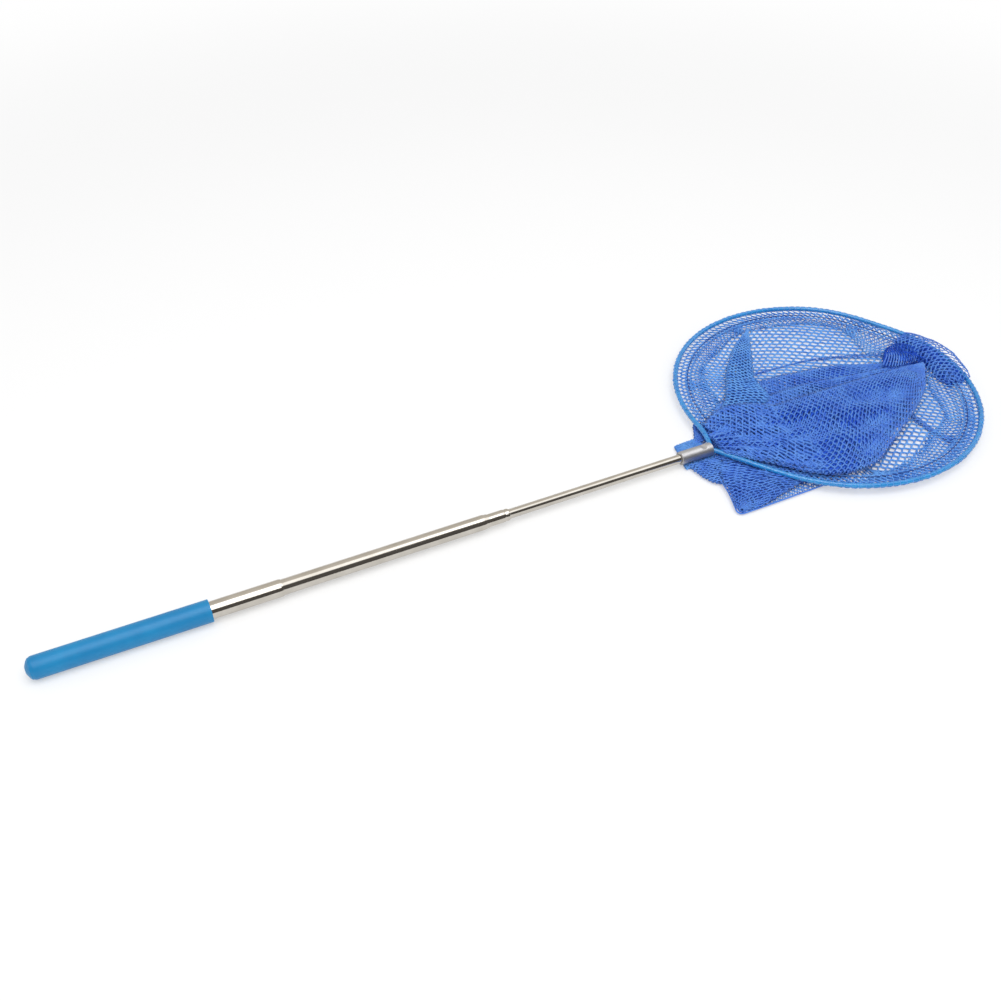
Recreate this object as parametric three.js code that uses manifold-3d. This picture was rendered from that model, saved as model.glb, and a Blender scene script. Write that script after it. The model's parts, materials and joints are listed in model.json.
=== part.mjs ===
// A telescopic butterfly net as it lies on a flat surface: a grip, five nested steel tubes with
// friction shims between them, a crimped ferrule, a sleeved wire hoop and a mesh bag sewn to the hoop.
// Millimetres. The pole lies along +X from the butt to the hoop, Z is up, and the surface is Z = 0.

import * as THREE from "three";
import { mergeVertices } from "three/addons/utils/BufferGeometryUtils.js";
import Module from "manifold-3d";

// Fits
const runningFit = 0.03; // radial clearance between pieces that slide or turn on each other
const seatGap = 0.3; // gap between two faces that touch
const stopGap = 0.2; // what is left between a tail ring and the lip that stops it

// Grip
const gripDiameter = 12.9;
const gripLength = 96.4;
const buttWall = 2.5; // thickness of the grip's closed end
const buttFlatDiameter = 4.8;
const buttConeLength = 2.8;
const gripEdge = 0.5; // rounding of the grip's mouth

// Tubes, from the grip outwards
const tubeWall = 0.25;
const tubeDiameters = [10.1, 9.2, 7.8, 6.9, 5.95];
const lipLengths = [1.2, 3.6, 1.2, 1.3]; // each outer tube is drawn in over this length at its mouth
const lipLand = 1 / 3; // share of a lip that fits the next tube, and of a tail ring that isn't tapered
const tube1Exposed = 40.2;
const tube2Exposed = 126.4;
const tube3Exposed = 10.9;
const tube4Exposed = 3.4;
const tube5Exposed = 120.9;
const tube3Length = 132.7;
const tube4Length = 133;
const noseBeadDiameter = 7.4; // rolled bead that stops tube 4 against the mouth of tube 3
const noseBeadLength = 1.4;
const noseBeadSlope = 0.3;

// Tail of each sliding tube: a flange, a pair of half-round shims and a ring that the next lip stops
const flangeLength = 1;
const ringLength = 1;
const shimLength = 8;
const shimPlay = 0.15;

// Ferrule
const ferruleDiameter = 8.7;
const ferruleLength = 22.8;
const ferruleEdge = 0.4;
const tubeSocketDepth = 10;
const legSocketDepth = 9.8;
const crimpRadius = 3.2; // the crimping tool leaves a saddle of this radius above and below
const crimpDepth = 0.9;
const crimpFromFront = 5.6;

// Hoop
const hoopRadius = 104; // to the outside of the sleeve
const hoopYaw = 11.06; // the hoop sits askew on the pole by this many degrees
const neckGap = 7.4; // from the ferrule to the hoop's circle
const sleeveDiameter = 3.4;
const wireDiameter = 2;
const legSpacing = 3.7; // between the two wire legs in the ferrule
const legStraight = 0.5; // how far the legs run on in front of the ferrule before they bend
const legBend = 2.2;
const legClearance = 0.05; // between a sleeved leg and its bore
const nearNeckAngle = 25; // the hoop's circle starts this far round on the near side
const farNeckAngle = 13;
const nearNeckHandle = 33; // how straight each side of the neck leaves the circle
const farNeckHandle = 10;
const dentDepth = 3.6; // the wire is a little flattened on its far right
const dentAngle = 29;
const dentSpread = 17;

// Hem: mesh folded round the sleeve and stitched to itself
const hemWall = 0.4;
const hemLoose = 0.25;
const hemWidth = 9;
const hemBandThickness = 0.7;
const hemBandDrop = 0.9; // from the hoop's plane down to the band
const stitchFromEdge = 2;
const threadDiameter = 0.5;

// Bag, collapsed on the surface below the hoop
const bagFloor = 2.4; // the folded layers of the bag's bottom
const openingPitch = 14; // diamond openings stand for the open mesh, where few layers lie on each other
const openingSize = 9.5;
const foldsOffset = -7; // the folds that cross the bag's middle, from the hoop's centre to their own
const foldsHalfWidth = 22;
const shelfMargin = 1; // the shelf runs on this far past the hem's band
const shelfSlope = 9;
const heapHeight = 14;
const heapOffset = [66, 9]; // from the hoop's centre to the highest fold
const heapSize = [15, 26];
const heapFoot = 0.2; // the heap ends where it gets this low
const heapSolid = 3; // the heap has no openings where it is higher than this
const tailThickness = 1.5;
const tailReach = 60; // how far the closed end of the bag runs in below the hoop
const seamDiameter = 0.9;
const seamInset = 1.6;
// The bag's closed end and the tab of its hem show outside the hoop, beside and below the ferrule.
const tailOutline = [
  [-1.5, 17.5],
  [-16, 17.3],
  [-22, -5.2],
  [-17.8, -7],
  [-14, -23],
  [-8.4, -29],
  [-12.7, -45],
  [-14.7, -55],
];

// Fineness of the faces
const roundFacets = 28;
const crimpFacets = 24;
const legFacets = 16;
const hemFacets = 12;
const sleeveFacets = 8;
const threadFacets = 4;
const neckSteps = 8;
const ringSteps = 60;
const bagSectors = 56;
const floorRings = 8;

// Where each tube's mouth and tail lie along the pole
const ferruleRear =
  gripLength + tube1Exposed + tube2Exposed + tube3Exposed + tube4Exposed + tube5Exposed;
const ferruleFront = ferruleRear + ferruleLength;
const tailZone = flangeLength + shimPlay + shimLength + shimPlay + ringLength;
const mouth1 = gripLength + tube1Exposed;
const mouth2 = mouth1 + tube2Exposed;
const mouth3 = mouth2 + tube3Exposed;
const mouth4 = mouth3 + tube4Exposed;
const noseLength = lipLengths[3] + noseBeadLength + noseBeadSlope;
const tubeSpans = [
  { tail: buttWall + seatGap, mouth: mouth1, lip: lipLengths[0] },
  { tail: mouth1 - lipLengths[0] - stopGap - tailZone, mouth: mouth2, lip: lipLengths[1] },
  { tail: mouth3 - tube3Length, mouth: mouth3, lip: lipLengths[2] },
  { tail: mouth4 - tube4Length, mouth: mouth4, lip: lipLengths[3] },
  { tail: mouth4 - noseLength - stopGap - tailZone, mouth: ferruleRear + tubeSocketDepth, lip: 0 },
];
const axisHeight = gripDiameter / 2;

// The hoop's circle, seen from above
const yaw = THREE.MathUtils.degToRad(hoopYaw);
const sleeveRadius = sleeveDiameter / 2;
const hoopCentre = new THREE.Vector2(
  ferruleFront + (hoopRadius + neckGap) * Math.cos(yaw),
  (hoopRadius + neckGap) * Math.sin(yaw),
);

// Radius of the hoop's centre line at an angle in radians, counted from +X.
function ringRadius(angle) {
  const turns = Math.round((angle - THREE.MathUtils.degToRad(dentAngle)) / (2 * Math.PI));
  const away = THREE.MathUtils.radToDeg(angle) - dentAngle - 360 * turns;
  return hoopRadius - sleeveRadius - dentDepth * Math.exp(-((away / dentSpread) ** 2));
}

function ringPoint(angle) {
  const radius = ringRadius(angle);
  return new THREE.Vector3(
    hoopCentre.x + radius * Math.cos(angle),
    hoopCentre.y + radius * Math.sin(angle),
    axisHeight,
  );
}

// The wire's centre line: out of the ferrule on the near side, round the hoop and back in on the far
// side. Its parameter counts stations, so that the bends get as many faces as they need.
class HoopPath extends THREE.Curve {
  constructor(from = 0, to = HoopPath.stations) {
    super();
    this.from = from;
    this.to = to;
    this.steps = to - from;
    const start = Math.PI + yaw + THREE.MathUtils.degToRad(nearNeckAngle);
    const sweep = 2 * Math.PI - THREE.MathUtils.degToRad(nearNeckAngle + farNeckAngle);
    this.angleAt = (share) => start + sweep * share;
    this.near = this.neck(-1, this.angleAt(0), -nearNeckHandle);
    this.far = this.neck(1, this.angleAt(1), farNeckHandle);
  }

  static stations = 2 * (neckSteps + 1) + ringSteps;

  // One side of the neck, from in front of the ferrule to the circle.
  neck(side, angle, handle) {
    const y = (side * legSpacing) / 2;
    const joint = ringPoint(angle);
    const along = new THREE.Vector3(-Math.sin(angle), Math.cos(angle), 0);
    return new THREE.CubicBezierCurve3(
      new THREE.Vector3(ferruleFront + legStraight, y, axisHeight),
      new THREE.Vector3(ferruleFront + legStraight + legBend, y, axisHeight),
      joint.clone().addScaledVector(along, handle),
      joint,
    );
  }

  legPoint(side, share) {
    const end = ferruleFront - legSocketDepth + seatGap;
    const x = THREE.MathUtils.lerp(end, ferruleFront + legStraight, share);
    return new THREE.Vector3(x, (side * legSpacing) / 2, axisHeight);
  }

  getPoint(t) {
    const station = this.from + this.steps * t;
    const ring = station - 1 - neckSteps;
    if (station < 1) return this.legPoint(-1, station);
    if (ring < 0) return this.near.getPoint((station - 1) / neckSteps);
    if (ring <= ringSteps) return ringPoint(this.angleAt(ring / ringSteps));
    if (ring <= ringSteps + neckSteps) return this.far.getPoint(1 - (ring - ringSteps) / neckSteps);
    return this.legPoint(1, 1 - (ring - ringSteps - neckSteps));
  }

  getUtoTmapping(u) {
    return u;
  }
}

// A regular outline of a rod or bore; across the hoop x points down and y points to the hoop's middle.
function circlePoints(radius, count) {
  return Array.from({ length: count }, (_, i) => {
    const angle = ((i + 0.5) * 2 * Math.PI) / count;
    return new THREE.Vector2(radius * Math.cos(angle), radius * Math.sin(angle));
  });
}

function sweep(outline, holes, path) {
  const shape = new THREE.Shape(outline);
  shape.holes = holes.map((points) => new THREE.Path(points));
  return new THREE.ExtrudeGeometry(shape, { steps: path.steps, extrudePath: path });
}

// Turns a profile of [radius, distance along the pole] about the pole's axis.
function revolve(profile) {
  const points = profile.map(([radius, along]) => new THREE.Vector2(radius, along));
  return new THREE.LatheGeometry(points, roundFacets).rotateZ(-Math.PI / 2);
}

const wasm = await Module();
wasm.setup();

function toSolid(geometry) {
  const bare = geometry.clone();
  bare.deleteAttribute("normal");
  bare.deleteAttribute("uv");
  const merged = mergeVertices(bare, 1e-4);
  return new wasm.Manifold(
    new wasm.Mesh({
      numProp: 3,
      vertProperties: merged.attributes.position.array,
      triVerts: new Uint32Array(merged.index.array),
    }),
  );
}

function toGeometry(solid) {
  const mesh = solid.getMesh();
  const geometry = new THREE.BufferGeometry();
  geometry.setAttribute("position", new THREE.BufferAttribute(mesh.vertProperties, 3));
  geometry.setIndex(new THREE.BufferAttribute(mesh.triVerts, 1));
  geometry.computeVertexNormals();
  return geometry;
}

function cut(geometry, tools) {
  return toGeometry(tools.reduce((left, tool) => left.subtract(toSolid(tool)), toSolid(geometry)));
}

function gripGeometry() {
  const outer = gripDiameter / 2;
  const bore = tubeDiameters[0] / 2 + runningFit;
  return revolve([
    [0, 0],
    [buttFlatDiameter / 2, 0],
    [outer - gripEdge, buttConeLength - gripEdge],
    [outer, buttConeLength + gripEdge],
    [outer, gripLength - gripEdge],
    [outer - gripEdge / 2, gripLength],
    [bore, gripLength],
    [bore, buttWall],
    [0, buttWall],
  ]);
}

// The tail of a sliding tube, from its open end to where the plain tube starts.
function tailProfile(index) {
  const { tail } = tubeSpans[index];
  const body = tubeDiameters[index] / 2;
  const flange = tubeDiameters[index - 1] / 2 - tubeWall - runningFit;
  const ringEnd = tail + tailZone;
  return [
    [flange, tail],
    [flange, tail + flangeLength],
    [body, tail + flangeLength],
    [body, ringEnd - ringLength],
    [flange, ringEnd - ringLength],
    [flange, ringEnd - ringLength * lipLand],
    [body, ringEnd],
  ];
}

// The mouth of an outer tube, drawn in to the tube that runs through it.
function mouthProfile(index) {
  const { mouth, lip } = tubeSpans[index];
  const body = tubeDiameters[index] / 2;
  const inside = tubeDiameters[index + 1] / 2 + runningFit;
  const outside = inside + tubeWall;
  const bead = noseBeadDiameter / 2;
  const beadEnd = mouth - lip;
  const nose = [
    [body, beadEnd - noseBeadLength - noseBeadSlope],
    [bead, beadEnd - noseBeadLength],
    [bead, beadEnd],
  ];
  const isNose = index === 3;
  return [
    ...(isNose ? nose : [[body, beadEnd]]),
    [outside, mouth],
    [inside, mouth],
    [inside, mouth - lip * lipLand],
    [body - tubeWall, isNose ? beadEnd - noseBeadLength : beadEnd],
  ];
}

function tubeGeometry(index) {
  const { tail, mouth } = tubeSpans[index];
  const body = tubeDiameters[index] / 2;
  const inner = body - tubeWall;
  const isLast = index === tubeDiameters.length - 1;
  const plainTail = [[body, tail]];
  const plainMouth = [
    [body, mouth],
    [inner, mouth],
  ];
  return revolve([
    [inner, tail],
    ...(index ? tailProfile(index) : plainTail),
    ...(isLast ? plainMouth : mouthProfile(index)),
    [inner, tail],
  ]);
}

// One of the two spring shims that fill the gap between a tube's tail and the tube around it.
function shimGeometry(index, half) {
  const inner = tubeDiameters[index] / 2 + runningFit;
  const outer = tubeDiameters[index - 1] / 2 - tubeWall - runningFit;
  const facet = (2 * Math.PI) / roundFacets;
  const count = roundFacets / 2 - 1;
  const arc = (radius, step) => {
    const angle = half * Math.PI + step * facet;
    return new THREE.Vector2(radius * Math.cos(angle), radius * Math.sin(angle));
  };
  const outline = [];
  for (let step = 0; step <= count; step++) outline.push(arc(outer, step));
  for (let step = count; step >= 0; step--) outline.push(arc(inner, step));
  const geometry = new THREE.ExtrudeGeometry(new THREE.Shape(outline), {
    depth: shimLength,
    bevelEnabled: false,
  });
  return geometry
    .rotateY(Math.PI / 2)
    .translate(tubeSpans[index].tail + flangeLength + shimPlay, 0, 0);
}

function ferruleGeometry() {
  const outer = ferruleDiameter / 2;
  const socket = tubeDiameters[4] / 2 + runningFit;
  const socketEnd = ferruleRear + tubeSocketDepth + seatGap;
  const body = revolve([
    [0, socketEnd],
    [socket, socketEnd],
    [socket, ferruleRear],
    [outer - ferruleEdge, ferruleRear],
    [outer, ferruleRear + ferruleEdge],
    [outer, ferruleFront - ferruleEdge],
    [outer - ferruleEdge, ferruleFront],
    [0, ferruleFront],
  ]);
  const legBore = sleeveRadius + legClearance;
  const legs = [-1, 1].map((side) =>
    new THREE.CylinderGeometry(legBore, legBore, 2 * legSocketDepth, legFacets)
      .rotateZ(Math.PI / 2)
      .translate(ferruleFront, (side * legSpacing) / 2, 0),
  );
  const crimps = [-1, 1].map((side) =>
    new THREE.CylinderGeometry(crimpRadius, crimpRadius, 2 * ferruleDiameter, crimpFacets)
      .translate(ferruleFront - crimpFromFront, 0, side * (outer + crimpRadius - crimpDepth)),
  );
  return cut(body, [...legs, ...crimps]);
}

const wirePath = new HoopPath();
const hemPath = new HoopPath(1 + neckSteps / 2, 1 + neckSteps + ringSteps + neckSteps / 2);

function wireGeometry() {
  return sweep(circlePoints(wireDiameter / 2, sleeveFacets), [], wirePath);
}

function sleeveGeometry() {
  const bore = circlePoints(wireDiameter / 2 + runningFit, sleeveFacets);
  return sweep(circlePoints(sleeveRadius, sleeveFacets), [bore], wirePath);
}

// The hem's section: a loose loop round the sleeve and a doubled band that runs in from it.
const hemLoopInner = sleeveRadius + hemLoose;
const hemLoopOuter = hemLoopInner + hemWall;
const bandEdge = hemLoopOuter + hemWidth;
const bandBottom = hemBandDrop + hemBandThickness;

function hemGeometry() {
  const start = Math.acos(hemBandDrop / hemLoopOuter);
  const end = 2 * Math.PI + Math.acos(bandBottom / hemLoopOuter);
  const outline = Array.from({ length: hemFacets + 1 }, (_, i) => {
    const angle = THREE.MathUtils.lerp(start, end, i / hemFacets);
    return new THREE.Vector2(hemLoopOuter * Math.cos(angle), hemLoopOuter * Math.sin(angle));
  });
  outline.push(new THREE.Vector2(bandBottom, bandEdge), new THREE.Vector2(hemBandDrop, bandEdge));
  return sweep(outline, [circlePoints(hemLoopInner, sleeveFacets)], hemPath);
}

function stitchingGeometry() {
  const thread = threadDiameter / 2;
  const down = hemBandDrop - seatGap - thread;
  const outline = circlePoints(thread, threadFacets).map(
    ({ x, y }) => new THREE.Vector2(x + down, y + bandEdge - stitchFromEdge),
  );
  return sweep(outline, [], hemPath);
}

// Height of the soft heap of folds above the bag's bottom, at a place counted from the hoop's centre.
function heap(x, y, fade) {
  const u = (x - heapOffset[0]) / heapSize[0];
  const v = (y - heapOffset[1]) / heapSize[1];
  return Math.max(0, heapHeight * Math.exp(-(u * u + v * v)) - heapFoot) * fade;
}

const bagRadius = hoopRadius - sleeveRadius - hemLoopOuter - seatGap;
const shelfTop = axisHeight - bandBottom - seatGap;
const shelfEdge = hoopRadius - sleeveRadius - bandEdge - shelfMargin;
const floorEdge = shelfEdge - shelfSlope;

// The bag lies like a shallow pan: a shelf that carries the hem, a sloping wall and folded layers.
function panGeometry() {
  const profile = [
    [0, 0],
    [bagRadius, 0],
    [bagRadius, shelfTop],
    [shelfEdge, shelfTop],
  ];
  for (let i = 0; i <= floorRings; i++) {
    profile.push([floorEdge * (1 - i / floorRings), bagFloor]);
  }
  const points = profile.map(([radius, height]) => new THREE.Vector2(radius, height));
  const pan = new THREE.LatheGeometry(points, bagSectors).rotateX(Math.PI / 2);
  const position = pan.attributes.position;
  for (let i = 0; i < position.count; i++) {
    const radius = Math.hypot(position.getX(i), position.getY(i));
    const angle = Math.atan2(position.getY(i), position.getX(i));
    const reach = (radius * (ringRadius(angle) - hemLoopOuter - seatGap)) / bagRadius;
    const x = reach * Math.cos(angle);
    const y = reach * Math.sin(angle);
    const height = position.getZ(i);
    const fade = THREE.MathUtils.smoothstep(shelfEdge - radius, 0, shelfSlope);
    const lift = height > 0 ? heap(x, y, fade) : 0;
    position.setXYZ(i, x + hoopCentre.x, y + hoopCentre.y, height + lift);
  }
  return pan;
}

function tailGeometry() {
  const last = tailOutline[tailOutline.length - 1];
  const outline = [
    ...tailOutline,
    [tailReach, last[1]],
    [tailReach, tailOutline[0][1]],
  ].map(([x, y]) => new THREE.Vector2(x + ferruleFront, y));
  return new THREE.ExtrudeGeometry(new THREE.Shape(outline), {
    depth: tailThickness,
    bevelEnabled: false,
  });
}

// The openings keep clear of the sloping wall, the heap and the folds across the middle.
function bagOpenings() {
  const corner = openingSize / Math.SQRT2;
  const diagonal = openingPitch / Math.SQRT2;
  const count = Math.floor(floorEdge / diagonal);
  const openings = [];
  for (let i = -count; i <= count; i++) {
    for (let j = -count; j <= count; j++) {
      if ((i + j) % 2) continue;
      const [x, y] = [i * diagonal, j * diagonal];
      const onFloor = Math.hypot(x, y) + corner < floorEdge - dentDepth;
      const onFolds = Math.abs(y - foldsOffset) < foldsHalfWidth + corner;
      if (!onFloor || onFolds || heap(x, y, 1) > heapSolid) continue;
      const opening = new THREE.BoxGeometry(openingSize, openingSize, 2 * (bagFloor + heapHeight));
      opening.rotateZ(Math.PI / 4).translate(x + hoopCentre.x, y + hoopCentre.y, 0);
      openings.push(opening);
    }
  }
  return openings;
}

function bagGeometry() {
  const whole = toGeometry(toSolid(panGeometry()).add(toSolid(tailGeometry())));
  return cut(whole, bagOpenings());
}

// The thread that closes the end of the bag, along the tail's straight edge outside the hoop.
function seamGeometry() {
  const [x, y] = tailOutline[tailOutline.length - 1];
  const edge = y + seamInset;
  const height = tailThickness + seatGap + seamDiameter / 2;
  const clear = bagRadius + seamDiameter;
  const end = hoopCentre.x - Math.sqrt(clear ** 2 - (hoopCentre.y - edge) ** 2);
  const start = new THREE.Vector3(ferruleFront + x + seamInset, edge, height);
  const path = new THREE.LineCurve3(start, new THREE.Vector3(end, edge, height));
  const shape = new THREE.Shape(circlePoints(seamDiameter / 2, sleeveFacets));
  return new THREE.ExtrudeGeometry(shape, { steps: 1, extrudePath: path });
}

const materials = {
  grip: { color: 0x2a91cb, roughness: 0.45, metalness: 0 },
  steel: { color: 0xc9c6c0, roughness: 0.12, metalness: 1 },
  shim: { color: 0xc39a4a, roughness: 0.4, metalness: 1 },
  ferrule: { color: 0xb4b5b8, roughness: 0.4, metalness: 1 },
  wire: { color: 0x8c8c8e, roughness: 0.35, metalness: 1 },
  sleeve: { color: 0x1e8ce6, roughness: 0.3, metalness: 0 },
  mesh: { color: 0x3a6fd8, roughness: 0.8, metalness: 0 },
  thread: { color: 0x1a2b66, roughness: 0.8, metalness: 0 },
};

// On the pole, geometry is made about its own axis and the group lifts it to the axis height.
const net = new THREE.Group();
const pole = new THREE.Group();
const head = new THREE.Group();
pole.position.z = axisHeight;
net.add(pole, head);

function piece(parent, name, geometry, look) {
  const mesh = new THREE.Mesh(geometry, new THREE.MeshStandardMaterial(materials[look]));
  mesh.name = name;
  parent.add(mesh);
}

piece(pole, "grip", gripGeometry(), "grip");
tubeDiameters.forEach((_, index) => {
  piece(pole, `tube_${index + 1}`, tubeGeometry(index), "steel");
  if (!index) return;
  piece(pole, `shim_${index + 1}_a`, shimGeometry(index, 0), "shim");
  piece(pole, `shim_${index + 1}_b`, shimGeometry(index, 1), "shim");
});
piece(pole, "ferrule", ferruleGeometry(), "ferrule");
piece(head, "hoop_wire", wireGeometry(), "wire");
piece(head, "hoop_sleeve", sleeveGeometry(), "sleeve");
piece(head, "net_hem", hemGeometry(), "mesh");
piece(head, "hem_stitching", stitchingGeometry(), "thread");
piece(head, "net_bag", bagGeometry(), "mesh");
piece(head, "bag_seam", seamGeometry(), "thread");

// The origin is the middle of the box that the net fills, on the surface it lies on.
const box = new THREE.Box3().setFromObject(net, true);
const centre = box.getCenter(new THREE.Vector3());
net.position.set(-centre.x, -centre.y, -box.min.z);
net.updateMatrixWorld(true);

export default net;
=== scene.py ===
"""A telescopic butterfly net, dressed round its packed construction model.

The pole lies along +X, Z is up and the net lies on the studio floor. Lengths in the classes below are
in millimetres, and plan places are counted from the middle of the ferrule's front face: x along the
pole towards the hoop, y to the hoop's far side. Everything that reaches Blender is in metres.
"""

from __future__ import annotations

import json
import logging
import math
from dataclasses import dataclass, field, replace
from enum import Enum
from itertools import pairwise
from typing import Any, Callable, Sequence

import bpy
import numpy as np
from mathutils import Matrix, Vector

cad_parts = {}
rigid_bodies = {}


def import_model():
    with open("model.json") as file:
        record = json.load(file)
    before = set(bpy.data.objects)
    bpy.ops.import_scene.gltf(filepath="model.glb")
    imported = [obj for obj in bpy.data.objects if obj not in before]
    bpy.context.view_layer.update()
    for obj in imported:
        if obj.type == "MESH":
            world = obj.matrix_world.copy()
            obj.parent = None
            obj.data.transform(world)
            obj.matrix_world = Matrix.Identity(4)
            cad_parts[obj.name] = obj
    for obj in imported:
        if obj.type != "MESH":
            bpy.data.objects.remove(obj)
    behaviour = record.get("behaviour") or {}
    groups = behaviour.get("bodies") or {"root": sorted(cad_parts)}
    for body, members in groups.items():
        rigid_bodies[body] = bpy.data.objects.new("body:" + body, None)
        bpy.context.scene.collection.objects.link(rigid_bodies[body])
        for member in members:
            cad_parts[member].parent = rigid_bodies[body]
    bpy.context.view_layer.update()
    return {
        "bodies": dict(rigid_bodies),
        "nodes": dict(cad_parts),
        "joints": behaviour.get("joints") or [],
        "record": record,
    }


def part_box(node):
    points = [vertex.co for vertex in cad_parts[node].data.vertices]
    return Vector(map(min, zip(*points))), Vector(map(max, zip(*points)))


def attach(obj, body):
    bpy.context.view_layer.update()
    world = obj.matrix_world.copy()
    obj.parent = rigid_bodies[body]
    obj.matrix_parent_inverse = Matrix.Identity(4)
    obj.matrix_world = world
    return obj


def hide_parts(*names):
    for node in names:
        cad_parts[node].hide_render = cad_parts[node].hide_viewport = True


MM = 0.001
SMOOTH_BELOW = math.radians(35)
MERGE_WITHIN = 1e-6
FLOOR_GAP = 0.12
LOG = logging.getLogger("butterfly_net")
Ring = tuple[float, float]
Point = tuple[float, float]
Surface = Callable[[np.ndarray, np.ndarray], np.ndarray]


class Body(str, Enum):
    """The bodies of the construction model that new pieces ride on."""

    HANDLE = "handle"
    TUBE_2 = "tube_2"
    TUBE_3 = "tube_3"
    TUBE_4 = "tube_4"
    HEAD = "head"


def srgb(code: str) -> tuple[float, float, float, float]:
    """Turns an sRGB hex value into Blender's linear colour.

    Args:
        code: Six hex digits, red first.

    Returns:
        Linear red, green, blue and an alpha of 1.
    """
    shares = [int(code[i : i + 2], 16) / 255 for i in (0, 2, 4)]
    linear = [c / 12.92 if c <= 0.04045 else ((c + 0.055) / 1.055) ** 2.4 for c in shares]
    return (*linear, 1.0)


def add_node(
    tree: bpy.types.NodeTree, kind: str, inputs: dict[Any, Any] | None = None, **settings: Any
) -> bpy.types.Node:
    """Adds a node with its settings, values and links.

    Args:
        tree: The node tree that gets it.
        kind: The node's type name.
        inputs: For each input's name or index, a value, or an output socket to link from.
        **settings: Attributes of the node itself.

    Returns:
        The new node.
    """
    node = tree.nodes.new(kind)
    for name, value in settings.items():
        setattr(node, name, value)
    for name, value in (inputs or {}).items():
        if isinstance(value, bpy.types.NodeSocket):
            tree.links.new(value, node.inputs[name])
        else:
            node.inputs[name].default_value = value
    return node


@dataclass(frozen=True)
class Finish:
    """A finish: its plain sockets, two tones of one colour, and the fine relief of its surface.

    The tones change into each other over `patch` millimetres. The grain is a noise whose size along X,
    Y and Z is `grain`, in millimetres, so that a drawn or turned metal gets long thin marks.
    """

    name: str
    light: str
    dark: str
    patch: float
    grain: tuple[float, float, float]
    relief: float
    sockets: dict[str, float] = field(default_factory=dict)
    rough_low: float = 0.3
    rough_high: float = 0.4
    ramp: tuple[float, float] = (0.35, 0.65)

    def material(self) -> bpy.types.Material:
        """Makes the finish's material, or returns it if it is made already."""
        made = bpy.data.materials.get(self.name)
        if made:
            return made
        material = bpy.data.materials.new(self.name)
        material.use_nodes = True
        tree = material.node_tree
        shader = tree.nodes["Principled BSDF"]
        for socket, value in self.sockets.items():
            shader.inputs[socket].default_value = value
        place = add_node(tree, "ShaderNodeTexCoord").outputs["Object"]
        patches = {"Vector": place, "Scale": 1 / (self.patch * MM), "Detail": 3.0}
        mottle = add_node(tree, "ShaderNodeTexNoise", patches)
        tones = add_node(tree, "ShaderNodeValToRGB", {"Fac": mottle.outputs["Fac"]})
        for stop, position, code in zip(tones.color_ramp.elements, self.ramp, (self.dark, self.light)):
            stop.position = position
            stop.color = srgb(code)
        tree.links.new(tones.outputs["Color"], shader.inputs["Base Color"])
        stretch = tuple(1 / (size * MM) for size in self.grain)
        turned = add_node(tree, "ShaderNodeMapping", {"Vector": place, "Scale": stretch})
        marks = {"Vector": turned.outputs["Vector"], "Scale": 1.0, "Detail": 2.0}
        grain = add_node(tree, "ShaderNodeTexNoise", marks)
        span = {"Value": grain.outputs["Fac"], "To Min": self.rough_low, "To Max": self.rough_high}
        gloss = add_node(tree, "ShaderNodeMapRange", span)
        tree.links.new(gloss.outputs["Result"], shader.inputs["Roughness"])
        depth = {"Height": grain.outputs["Fac"], "Distance": self.relief * MM, "Strength": 1.0}
        relief = add_node(tree, "ShaderNodeBump", depth)
        tree.links.new(relief.outputs["Normal"], shader.inputs["Normal"])
        return material


# Plasticised PVC, dip-moulded: an even semi-matte azure with a broad soft highlight.
DIPPED_PVC = Finish(
    "dip_moulded_pvc", "1285BC", "0E7CB4", 14, (0.5, 0.5, 0.5), 0.006,
    {"IOR": 1.53, "Specular IOR Level": 0.36}, 0.36, 0.46,
)
# Stainless steel, drawn and polished: a mirror with faint long draw lines.
POLISHED_STAINLESS = Finish(
    "polished_drawn_stainless", "C8C3BB", "BDB8AF", 9, (30, 0.35, 0.35), 0.0006, {"Metallic": 1.0}, 0.06, 0.15
)
# Aluminium, turned and satin: a light grey that blurs what it mirrors.
SATIN_ALUMINIUM = Finish(
    "satin_turned_aluminium", "BABABC", "B0B0B3", 5, (0.3, 3, 3), 0.004, {"Metallic": 1.0}, 0.42, 0.52
)
# Phosphor bronze strip, rolled: brownish gold with rolling marks.
ROLLED_BRONZE = Finish(
    "rolled_phosphor_bronze", "C8A060", "A97F43", 4, (8, 0.4, 0.4), 0.003, {"Metallic": 1.0}, 0.25, 0.4
)
# Spring steel, hard drawn: a dull grey wire.
DRAWN_SPRING_STEEL = Finish(
    "hard_drawn_spring_steel", "8E8E90", "7A7A7C", 5, (6, 0.3, 0.3), 0.003, {"Metallic": 1.0}, 0.3, 0.45
)
# PVC tubing, extruded: clear glossy azure with sharp highlights.
GLOSSY_PVC = Finish(
    "extruded_glossy_pvc", "2490D4", "1C80C6", 8, (4, 0.6, 0.6), 0.003,
    {"IOR": 1.54, "Coat Weight": 0.4}, 0.18, 0.28,
)
# Polyester yarn, warp-knitted, where the mesh is gathered: a soft blue with the sheen of its filaments. The
# relief of its twist is drawn twice as coarse as it is, so that it shows.
GATHERED_POLYESTER = Finish(
    "gathered_knitted_polyester", "558EE2", "3E76D8", 11, (0.5, 0.5, 0.5), 0.05,
    {"IOR": 1.5, "Sheen Weight": 0.12}, 0.5, 0.65,
)
# The same yarn with painted shade: darker and deeper, for layers lying beneath other layers of blue yarn.
SHADE_PAINTED_POLYESTER = Finish(
    "shade_painted_knitted_polyester", "2F66DA", "2353CC", 11, (0.5, 0.5, 0.5), 0.05,
    {"IOR": 1.5, "Specular IOR Level": 0.2}, 0.6, 0.75,
)
# The same yarn, stretched to one layer, with painted light: paler, for light passing through its filaments.
LIGHT_PAINTED_POLYESTER = replace(
    GATHERED_POLYESTER, name="light_painted_knitted_polyester", light="66A6EE", dark="5091E4"
)
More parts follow.
